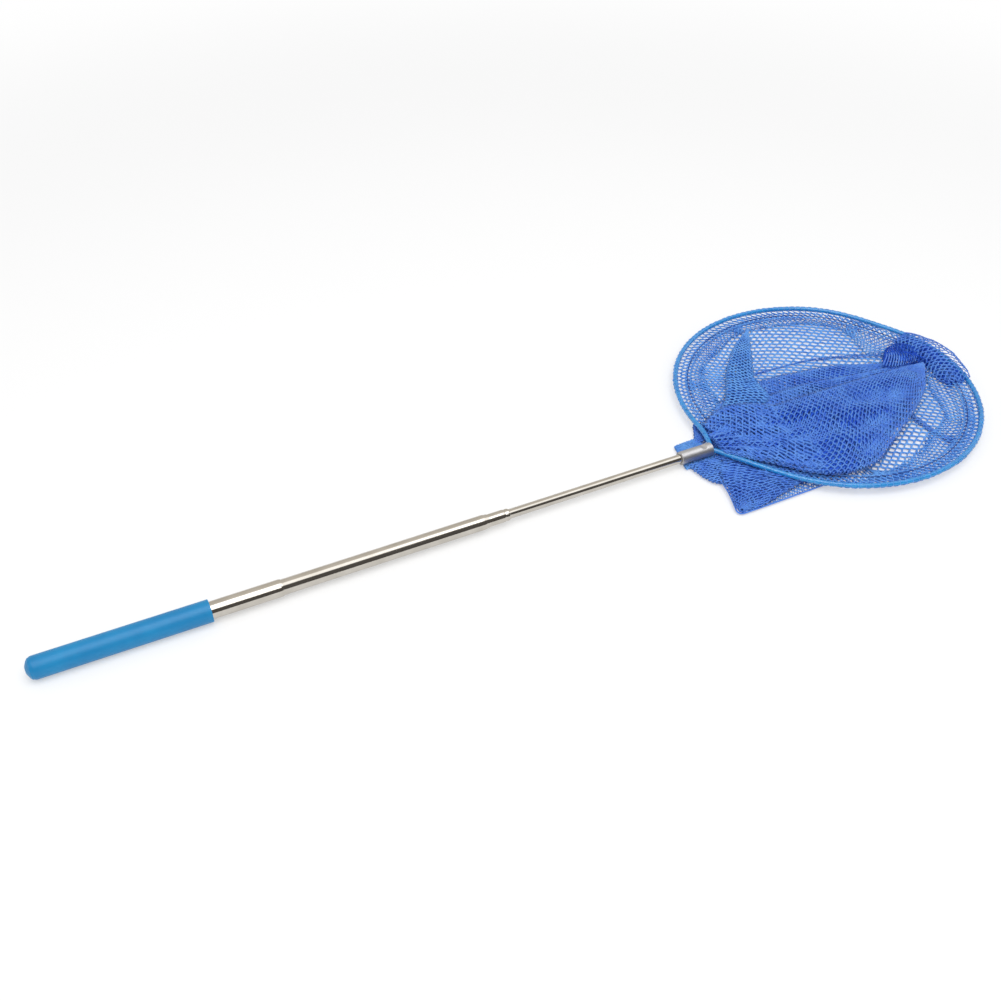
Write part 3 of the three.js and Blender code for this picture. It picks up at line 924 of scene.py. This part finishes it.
@dataclass
class Bag:
    """The collapsed mesh bag, the hem that holds it on the hoop, and its threads."""

    plan: Plan
    hoop: Hoop = field(default_factory=Hoop)
    knit: Knit = field(default_factory=Knit)
    hem_width: float = 9.0
    hem_course: float = 4.4
    hem_wale: float = 3.4
    hem_slant: float = 0.25
    hem_yarn: float = 1.0
    loop_radius: float = 1.62
    loop_slim: float = 0.08
    band_start: float = 3.2
    band_top: float = 1.0
    band_bottom: float = 1.45
    thread: float = 0.5
    stitch_pitch: float = 3.6
    stitch_from_edge: float = 2.0
    stitch_share: float = 0.75
    stitch_end: float = 0.6
    floor_turn: float = -90.0
    floor_course: float = 4.6
    floor_wale: float = 3.9
    floor_yarn: float = 1.6
    floor_drift: float = 1.6
    floor_height: float = 1.08
    floor_swell: float = 0.35
    stretches: Sequence[tuple[Point, float, float]] = (
        ((30, 48), 30, 0.16), ((-52, 45), 26, -0.3), ((20, -70), 24, 0.1),
    )
    floor_radius: float = 97.0
    wall_radius: float = 90.0
    wall_yarn: float = 0.9
    wall_hang: float = 0.6
    wall_shoulder: float = 8.0
    wall_slope: float = 12.0
    wall_foot: float = 2.7
    wall_under: float = 1.6
    wall_wave: float = 0.4
    crease_drift: float = 0.8
    crease_height: float = 2.0
    panels: Sequence[tuple[float, float, int]] = (
        (36, 97, 7), (93, 152, 9), (147, 256, 13), (252, 318, 15), (314, 401, 15),
    )
    thrown_from: float = -20.0
    thrown_sweep: float = 37.0
    thrown_pleats: int = 7
    thrown_pleat_height: float = 0.9
    thrown_wave: float = 0.6
    thrown_lowest: float = 0.9
    rib_count: int = 13
    rib_radius: float = 0.45
    rib_height: float = 6.6
    rib_arch: float = 1.3
    end_cord_radius: float = 0.5
    seam: Sequence[Point] = ((0, 1), (35, 1), (70, 3), (95, 8), (165, 8), (185, 4), (215, 1), (360, 1))
    crease: Sequence[Point] = (
        (0, 22), (10, 24), (18, 34), (24, 36), (28, 32), (32, 27), (38, 19), (44, 14), (54, 13),
        (62, 14), (69, 16), (83, 17), (94, 16), (98, 17), (110, 20), (120, 21), (130, 19), (140, 20),
        (150, 26), (160, 29), (167, 29), (172, 34), (180, 44), (190, 52), (202, 52), (214, 50),
        (226, 48), (238, 44), (246, 32), (253, 19), (260, 18), (270, 21), (285, 25), (300, 29),
        (305, 27), (315, 23), (325, 26), (335, 28), (345, 25), (355, 21), (360, 22),
    )

    @property
    def level(self) -> float:
        """Height of the hoop's plane above the floor."""
        return self.plan.pole.axis.z / MM

    @staticmethod
    def cord(
        name: str, lines: Sequence[np.ndarray], radius: float, resolution: int = 1
    ) -> bpy.types.Object:
        """Makes round cords with closed ends from a bevelled curve.

        Args:
            name: The piece's name.
            lines: The points that each cord follows, in metres.
            radius: Their radius in millimetres.
            resolution: How finely their section is rounded.

        Returns:
            The cords as one mesh.
        """
        curve = bpy.data.curves.new(name, "CURVE")
        curve.dimensions = "3D"
        curve.bevel_depth = radius * MM
        curve.bevel_resolution = resolution
        curve.use_fill_caps = True
        for places in lines:
            run = curve.splines.new("POLY")
            run.points.add(len(places) - 1)
            for point, place in zip(run.points, places):
                point.co = (*place, 1)
        piece = bpy.data.objects.new(name, curve)
        bpy.context.scene.collection.objects.link(piece)
        make_active(piece)
        bpy.ops.object.convert(target="MESH")
        piece = bpy.context.object
        bpy.ops.object.shade_smooth_by_angle(angle=SMOOTH_BELOW)
        return piece

    def sleeve(self) -> bpy.types.Object:
        """The glossy plastic tube over the hoop's wire, a little slimmer where the mesh lies over it."""
        line = self.hoop.centre_line()
        piece = self.cord("hoop_tube", [self.plan.place(line, self.level)], self.hoop.sleeve_shown / 2, 4)
        return settle(piece, GLOSSY_PVC, Body.HEAD, ["hoop_sleeve"])

    @property
    def hem_line(self) -> np.ndarray:
        """The sleeve's centre line as far as the hem is folded round it, which leaves the neck free."""
        return self.hoop.centre_line(legs=False)[14:-14]

    def hem_section(self, count: int) -> np.ndarray:
        """The hem's section: distance inward of the sleeve's centre, and height above it."""
        edge = self.loop_radius + self.hem_width
        turn = np.radians(np.linspace(-18, 322, 24))
        loop = self.loop_radius * np.stack([np.cos(turn), np.sin(turn)], -1)
        middle = edge * 0.6
        top = [(edge, -self.band_top), (middle, -self.band_top), (self.band_start, -0.72)]
        low = -self.band_bottom
        bottom = [(self.band_start, low + 0.1), (middle, low), (edge, low)]
        return resample(np.concatenate([top, loop, bottom]), count)

    def hem(self) -> bpy.types.Object:
        """The mesh folded round the sleeve and back to a double band."""
        line = self.hem_line
        section = self.hem_section(200)
        holes = round(length_of(line) / self.hem_course)
        rows = 2 * round(length_of(section) / (2 * self.hem_wale)) + 1
        knots, faces = self.knit.lattice(holes, rows)
        line = resample(line, 2000)
        slant = self.hem_slant * np.minimum(knots[:, 1], rows - knots[:, 1])
        spot = np.clip((knots[:, 0] + slant) / (holes + 0.5), 0, 1)
        inward = beside(line_at(np.gradient(line, axis=0), spot))
        across = line_at(section, np.clip(knots[:, 1] / rows, 0, 1))
        points = self.plan.place(line_at(line, spot) + across[:, :1] * inward, self.level + across[:, 1])
        slim = np.clip((across[:, 0] - 2) / 3, self.loop_slim, 0.9)
        piece = self.knit.knit("hem_mesh", points, faces, self.hem_yarn, slim)
        # The hem's yarn is the paler one, with painted light.
        return settle(piece, LIGHT_PAINTED_POLYESTER, Body.HEAD, ["net_hem"])

    def stitching(self) -> bpy.types.Object:
        """The hem's seam: single stitches of navy thread, each thin where it meets the next."""
        line = self.hem_line
        inward = self.loop_radius + self.hem_width - self.stitch_from_edge
        seam = line + inward * beside(np.gradient(line, axis=0))
        count = round(length_of(seam) / self.stitch_pitch)
        seam = resample(seam, 2 * count + 1)
        places = self.plan.place(seam, self.level - self.band_top + self.thread)
        deselect_all()
        bpy.ops.mesh.primitive_uv_sphere_add(segments=8, ring_count=6, radius=self.thread / 2 * MM)
        pattern = bpy.context.object
        shape = np.array([v.co for v in pattern.data.vertices])
        outline = [list(p.vertices) for p in pattern.data.polygons]
        bpy.data.objects.remove(pattern)
        points, faces = [], []
        for start, end in zip(places[:-1:2], places[1::2]):
            along = end - start
            reach = np.linalg.norm(along)
            along /= reach
            side = np.cross(along, [0, 0, 1.0])
            longer = self.stitch_share * reach + self.stitch_end * MM
            body = shape[:, :1] / (self.thread / 2 * MM) * longer * along
            body = body + shape[:, 1:2] * side + shape[:, 2:] * np.array([0, 0, 1.0]) + (start + end) / 2
            faces += [[len(points) * len(shape) + k for k in face] for face in outline]
            points.append(body)
        piece = mesh_piece("hem_stitches", np.concatenate(points), faces)
        bpy.ops.object.shade_smooth()
        return settle(piece, SEWING_THREAD, Body.HEAD, ["hem_stitching"])

    def floor(self) -> bpy.types.Object:
        """The lowest layer of the bag: one layer of mesh flat on the floor, stretched open in places."""
        pitch = np.array([self.floor_course, self.floor_wale])
        holes, rows = (round(share) for share in 2.5 * self.floor_radius / pitch)
        knots, faces = replace(self.knit, pillar=0.4).lattice(holes, rows)
        flat = (knots - [holes / 2, rows / 2]) * pitch
        turn = math.radians(self.floor_turn)
        spin = np.array([[math.cos(turn), -math.sin(turn)], [math.sin(turn), math.cos(turn)]])
        spot = flat @ spin.T
        for place, spread, amount in self.stretches:
            away = spot - np.array(place)
            spot = spot + amount * away * np.exp(-(away**2).sum(1) / (2 * spread**2))[:, None]
        spot = spot + self.floor_drift * np.stack([ripple(spot, 60, 3), ripple(spot, 70, 4)], -1)
        angle = np.degrees(np.arctan2(spot[:, 1], spot[:, 0]))
        limit = self.hoop.radius(angle) - np.interp(angle % 360, *zip(*self.crease)) + 4
        distance = np.linalg.norm(spot, axis=1)
        kept = [face for face in faces if (distance[face] < limit[face]).all()]
        height = self.floor_height + self.floor_swell * np.maximum(ripple(spot, 34, 5), 0)
        points = self.plan.place(spot + self.hoop.centre, height)
        piece = self.knit.knit("net_floor_layer", points, kept, self.floor_yarn)
        # The floor layer's yarn is the paler one, with painted light.
        return settle(piece, LIGHT_PAINTED_POLYESTER, Body.HEAD, ["net_bag"])

    def wall_panel(self, index: int, start: float, end: float, rows: int) -> bpy.types.Object:
        """One stretch of the bag's wall: in and down from the hem's seam, creased, and back out below.

        Args:
            index: The panel's number.
            start: Where it starts round the hoop, in degrees.
            end: Where it ends.
            rows: How many rows of holes its two layers have together.

        Returns:
            The panel.
        """
        holes = round(math.radians(end - start) * self.wall_radius / self.knit.course)
        knots, faces = self.knit.lattice(holes, rows)
        angle = start + (end - start) * np.clip(knots[:, 0] / (holes + 0.5), 0, 1)
        share = np.clip(knots[:, 1] / rows, 0, 1)
        uneven = ripple(np.radians(angle)[:, None] * [90, 60], 40, 6)
        depth = np.interp(angle % 360, *zip(*self.crease)) + self.crease_drift * uneven
        begin = np.interp(angle % 360, *zip(*self.seam))
        near = 1 - np.abs(1 - 2 * share)
        begin = np.where(share > 0.5, np.maximum(begin, 7), begin)
        inward = begin + (depth - begin) * near**0.95
        spot = self.hoop.ring_point(angle) - inward[:, None] * self.hoop.outward(angle)
        top = self.level - self.band_bottom - self.wall_hang
        fall = np.clip((inward - self.wall_shoulder) / self.wall_slope, 0, 1)
        upper = top + (self.wall_foot - top) * fall * fall * (3 - 2 * fall)
        lower = self.wall_under + 0.2 * fall
        height = np.where(share < 0.5, upper, lower) + self.wall_wave * ripple(spot, 30, 8) * fall
        edge = np.clip(np.abs(share - 0.5) * rows, 0, 1)
        height = self.crease_height * (1 - edge) + height * edge
        piece = self.knit.knit(f"net_wall_{index}", self.plan.place(spot, height), faces, self.wall_yarn)
        # The wall's yarn is the paler one, with painted light.
        return settle(piece, LIGHT_PAINTED_POLYESTER, Body.HEAD)

    def wall(self) -> None:
        """The whole wall, in panels with as many rows as its depth needs."""
        for index, (start, end, rows) in enumerate(self.panels, 1):
            self.wall_panel(index, start, end, rows)

    def rim_fold(
        self,
        name: str,
        thrown: Sequence[Point],
        close: Sequence[Point],
        holes: int,
        rows: int,
        yarn: float,
        finish: Finish,
        thinning: float = 0.0,
    ) -> bpy.types.Object:
        """One layer of the fold of the bag's wall that is thrown over the rim on its far right.

        Args:
            name: The piece's name.
            thrown: The layer's section where it is fullest: distance outward of the rim, and height.
            close: The section at both of its ends, where it lies close to the hem.
            holes: How many holes it has along the rim.
            rows: How many rows it has from the inside to the outside.
            yarn: The yarn's thickness.
            finish: What it is made of.
            thinning: How much the yarn is stretched thinner outside the rim.

        Returns:
            The layer.
        """
        knots, faces = self.knit.lattice(holes, rows)
        across = np.clip(knots[:, 0] / (holes + 0.5), 0, 1)
        share = np.clip(knots[:, 1] / rows, 0, 1)
        grown = np.sin(math.pi * across) ** 0.7
        far, near = (line_at(curve_through(edge, 200), share) for edge in (thrown, close))
        section = far * grown[:, None] + near * (1 - grown)[:, None]
        angle = self.thrown_from + self.thrown_sweep * across
        spot = self.hoop.ring_point(angle) + section[:, :1] * self.hoop.outward(angle)
        pleat = self.thrown_pleat_height * np.sin(2 * math.pi * across * self.thrown_pleats) * grown
        pleat = pleat * np.clip(1 - share * 1.6, 0, 1)
        height = section[:, 1] + pleat + self.thrown_wave * ripple(spot, 18, 21) * grown
        height = np.maximum(height, self.thrown_lowest)
        slim = 1 - thinning * np.clip((share - 0.5) * 5, 0, 1)
        piece = self.knit.knit(name, self.plan.place(spot, height), faces, yarn, slim)
        return settle(piece, finish, Body.HEAD)

    def rim_folds(self) -> None:
        """The three layers of the fold over the rim, the two beneath in the darker yarn with painted shade.
        """
        self.rim_fold(
            "net_rim_fold",
            [(-21, 2), (-18.5, 6), (-15, 9.8), (-10, 12), (-5, 12.7), (0, 12), (4, 10.5), (6.9, 8), (7.4, 6)],
            [(-14, 5), (-12, 6), (-9, 6.4), (-5, 7.0), (-3, 7.8), (-1.5, 8.2), (0, 8), (1, 7.4)],
            17, 10, 1.4, GATHERED_POLYESTER, 1.0,
        )
        self.rim_fold(
            "net_rim_lining",
            [(-15, 3), (-12, 4.6), (-7, 5.8), (-2, 6.4), (1, 6.6)],
            [(-12, 3.4), (-9, 4.0), (-6, 4.4), (-4, 5.0), (-2, 5.6)],
            20, 8, 1.8, SHADE_PAINTED_POLYESTER,
        )
        self.rim_fold(
            "net_rim_filling",
            [(-15, 1.4), (-11, 2.6), (-7, 3.6), (-3, 4.2), (0, 4.4)],
            [(-12, 1.6), (-9, 2.4), (-6, 3.0), (-4, 3.4), (-3, 3.8)],
            24, 8, 1.8, SHADE_PAINTED_POLYESTER,
        )

    def pleat_ribs(self) -> bpy.types.Object:
        """The yarn drawn together into ribs at the crest of the pleats beside the fold over the rim."""
        crest = [(176, 36), (181, 35.5), (185.5, 35), (189.5, 33), (191.5, 29), (192, 25)]
        foot = [(164, 26), (167, 22.5), (174, 20.5), (181, 20), (188, 20)]
        upper, lower = (curve_through(edge, self.rib_count) for edge in (crest, foot))
        share = np.linspace(0, 1, 14)[:, None]
        height = self.rib_height + self.rib_arch * np.sin(math.pi * share[:, 0])
        bow = np.array([1.6, 0.6]) * np.sin(math.pi * share)
        lines = [self.plan.place(low + (high - low) * share + bow, height) for high, low in zip(upper, lower)]
        piece = self.cord("net_pleat_ribs", lines, self.rib_radius)
        return settle(piece, GATHERED_POLYESTER, Body.HEAD)

    def end_seam(self) -> bpy.types.Object:
        """The bound edge round the bag's straight end, with its rounded corner."""
        corner = [(-14.2, -55.2), (-15.6, -53.4), (-15.4, -51.0)]
        edge = [(66, -55.2), (40, -55.6), (10, -55.8), (-8, -55.8), (-12, -55.7), *corner]
        edge += [(-13.1, -44.0), (-11.0, -36.8), (-9.4, -28.0), (-8.4, -24.0)]
        line = curve_through(edge, 160)
        height = np.interp(line[:, 1], [-55, -50, -28], [1.3, 2.2, 3.0])
        piece = self.cord("bag_end_seam", [self.plan.place(line, height)], self.end_cord_radius)
        return settle(piece, GATHERED_POLYESTER, Body.HEAD, ["bag_seam"])

    def build(self) -> None:
        """Makes every soft piece of the head."""
        self.sleeve()
        self.hem()
        self.stitching()
        self.floor()
        self.wall()
        self.rim_folds()
        self.pleat_ribs()
        self.end_seam()
        for fold in FOLDS:
            settle(fold.build(self.knit, self.plan), fold.finish, Body.HEAD)


@dataclass
class Studio:
    """The white floor, the soft light, and the camera with its heading, dip and roll in degrees."""

    camera_place: tuple[float, float, float] = (-267.84, -458.47, 452.74)
    camera_turn: tuple[float, float, float] = (63.11, 41.48, 0.93)
    lens: float = 40.106
    floor_size: float = 12.0
    floor_below: float = 0.2
    floor_glow: float = 0.4
    glow_grows: tuple[float, float] = (0.5, 1.1)
    lamp_place: tuple[float, float, float] = (-0.1, -0.45, 1.35)
    lamp_size: float = 1.3
    lamp_power: float = 13.0
    sky: float = 0.64
    room_light: float = 1.75
    walls: Sequence[tuple[float, str]] = (
        (0.0, "454341"), (0.335, "4B4947"), (0.375, "FFFFFF"),
        (0.58, "FFFFFF"), (0.61, "BCB8B2"), (0.9, "B0ACA6"),
    )

    def camera(self) -> None:
        """The camera where the photograph was taken from."""
        heading, dip, roll = (math.radians(turn) for turn in self.camera_turn)
        run = math.cos(dip)
        forward = Vector((run * math.cos(heading), run * math.sin(heading), -math.sin(dip)))
        level = forward.cross(Vector((0, 0, 1))).normalized()
        above = level.cross(forward)
        right = math.cos(roll) * level + math.sin(roll) * above
        up = math.cos(roll) * above - math.sin(roll) * level
        data = bpy.data.cameras.new("studio_camera")
        data.lens = self.lens
        data.sensor_width = 36
        data.clip_end = 50
        camera = bpy.data.objects.new("studio_camera", data)
        turned = Matrix((right, up, -forward)).transposed().to_4x4()
        camera.matrix_world = Matrix.Translation(Vector(self.camera_place) * MM) @ turned
        bpy.context.scene.collection.objects.link(camera)
        bpy.context.scene.camera = camera

    def floor(self) -> None:
        """A white floor that keeps the object's soft shadow and glows more the farther it is from it."""
        deselect_all()
        bpy.ops.mesh.primitive_plane_add(size=self.floor_size, location=(0, 0, -self.floor_below * MM))
        floor = bpy.context.object
        floor.name = "studio_floor"
        material = bpy.data.materials.new("white_paper")
        material.use_nodes = True
        tree = material.node_tree
        tree.nodes.clear()
        paper = add_node(tree, "ShaderNodeBsdfDiffuse", {"Color": srgb("FAFAFA")})
        glow = add_node(tree, "ShaderNodeEmission", {"Color": srgb("FFFFFF"), "Strength": 1.0})
        path = add_node(tree, "ShaderNodeLightPath").outputs
        clear = path["Is Camera Ray"]
        for kind in ("Is Glossy Ray", "Is Transmission Ray"):
            either = {0: clear, 1: path[kind]}
            clear = add_node(tree, "ShaderNodeMath", either, operation="MAXIMUM").outputs[0]
        place = add_node(tree, "ShaderNodeTexCoord")
        distance = add_node(tree, "ShaderNodeVectorMath", {0: place.outputs["Object"]}, operation="LENGTH")
        near, away = self.glow_grows
        growth = {"Value": distance.outputs["Value"], "From Min": near, "From Max": away}
        growth |= {"To Min": self.floor_glow, "To Max": 1.0}
        far = add_node(tree, "ShaderNodeMapRange", growth, interpolation_type="SMOOTHSTEP")
        share = add_node(tree, "ShaderNodeMath", {0: clear, 1: far.outputs[0]}, operation="MULTIPLY")
        surface = {0: share.outputs[0], 1: paper.outputs[0], 2: glow.outputs[0]}
        mix = add_node(tree, "ShaderNodeMixShader", surface)
        add_node(tree, "ShaderNodeOutputMaterial", {"Surface": mix.outputs[0]})
        floor.data.materials.append(material)

    def lamp(self) -> None:
        """One large soft lamp above, a little to the camera's side."""
        data = bpy.data.lights.new("soft_box", "AREA")
        data.shape = "SQUARE"
        data.size = self.lamp_size
        data.energy = self.lamp_power
        lamp = bpy.data.objects.new("soft_box", data)
        lamp.location = self.lamp_place
        lamp.rotation_euler = (-Vector(self.lamp_place)).to_track_quat("-Z", "Y").to_euler()
        bpy.context.scene.collection.objects.link(lamp)

    def world(self) -> None:
        """White for the camera, an even sky for soft light, and a studio for the metal to mirror.

        The studio has a white ceiling, a grey far wall and a dark near one, as fixed directions of the room.
        """
        world = bpy.data.worlds.new("studio_world")
        bpy.context.scene.world = world
        world.use_nodes = True
        tree = world.node_tree
        tree.nodes.clear()
        path = add_node(tree, "ShaderNodeLightPath").outputs
        white = add_node(tree, "ShaderNodeBackground", {"Color": srgb("FFFFFF"), "Strength": 1.0})
        sky = add_node(tree, "ShaderNodeBackground", {"Color": srgb("FFFFFF"), "Strength": self.sky})
        direction = add_node(tree, "ShaderNodeTexCoord").outputs["Generated"]
        parts = add_node(tree, "ShaderNodeSeparateXYZ", {0: direction})
        across = {0: parts.outputs["Y"], 1: parts.outputs["Z"]}
        around = add_node(tree, "ShaderNodeMath", across, operation="ARCTAN2")
        half = {"Value": around.outputs[0], "From Min": -math.pi / 2, "From Max": math.pi / 2}
        turn = add_node(tree, "ShaderNodeMapRange", half)
        room = add_node(tree, "ShaderNodeValToRGB", {"Fac": turn.outputs["Result"]})
        stops = room.color_ramp
        for place, _ in self.walls[2:]:
            stops.elements.new(place)
        for stop, (place, code) in zip(stops.elements, self.walls):
            stop.position = place
            stop.color = srgb(code)
        mirrored = {"Color": room.outputs["Color"], "Strength": self.room_light}
        studio = add_node(tree, "ShaderNodeBackground", mirrored)
        lit = {0: path["Is Glossy Ray"], 1: sky.outputs[0], 2: studio.outputs[0]}
        seen = add_node(tree, "ShaderNodeMixShader", lit)
        direct = {0: path["Is Camera Ray"], 1: path["Is Transmission Ray"]}
        clear = add_node(tree, "ShaderNodeMath", direct, operation="MAXIMUM")
        shown = {0: clear.outputs[0], 1: seen.outputs[0], 2: white.outputs[0]}
        final = add_node(tree, "ShaderNodeMixShader", shown)
        add_node(tree, "ShaderNodeOutputWorld", {"Surface": final.outputs[0]})

    def build(self) -> None:
        """Sets up the whole studio."""
        bpy.context.scene.view_settings.view_transform = "Standard"
        self.camera()
        self.floor()
        self.lamp()
        self.world()


def dress_hidden_nodes(nodes: dict[str, bpy.types.Object]) -> None:
    """Gives the shims and the wire that stay from the construction model their finishes."""
    looks = {"shim": ROLLED_BRONZE, "hoop_wire": DRAWN_SPRING_STEEL}
    for name, node in nodes.items():
        for start, finish in looks.items():
            if name.startswith(start):
                node.data.materials.clear()
                node.data.materials.append(finish.material())


def main() -> None:
    """Builds the studio, the pole and the head round the construction model."""
    logging.basicConfig(level=logging.INFO)
    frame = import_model()
    Studio().build()
    pole = Pole()
    pole.build()
    Bag(Plan(pole)).build()
    dress_hidden_nodes(frame["nodes"])


if __name__ == "__main__":
    main()
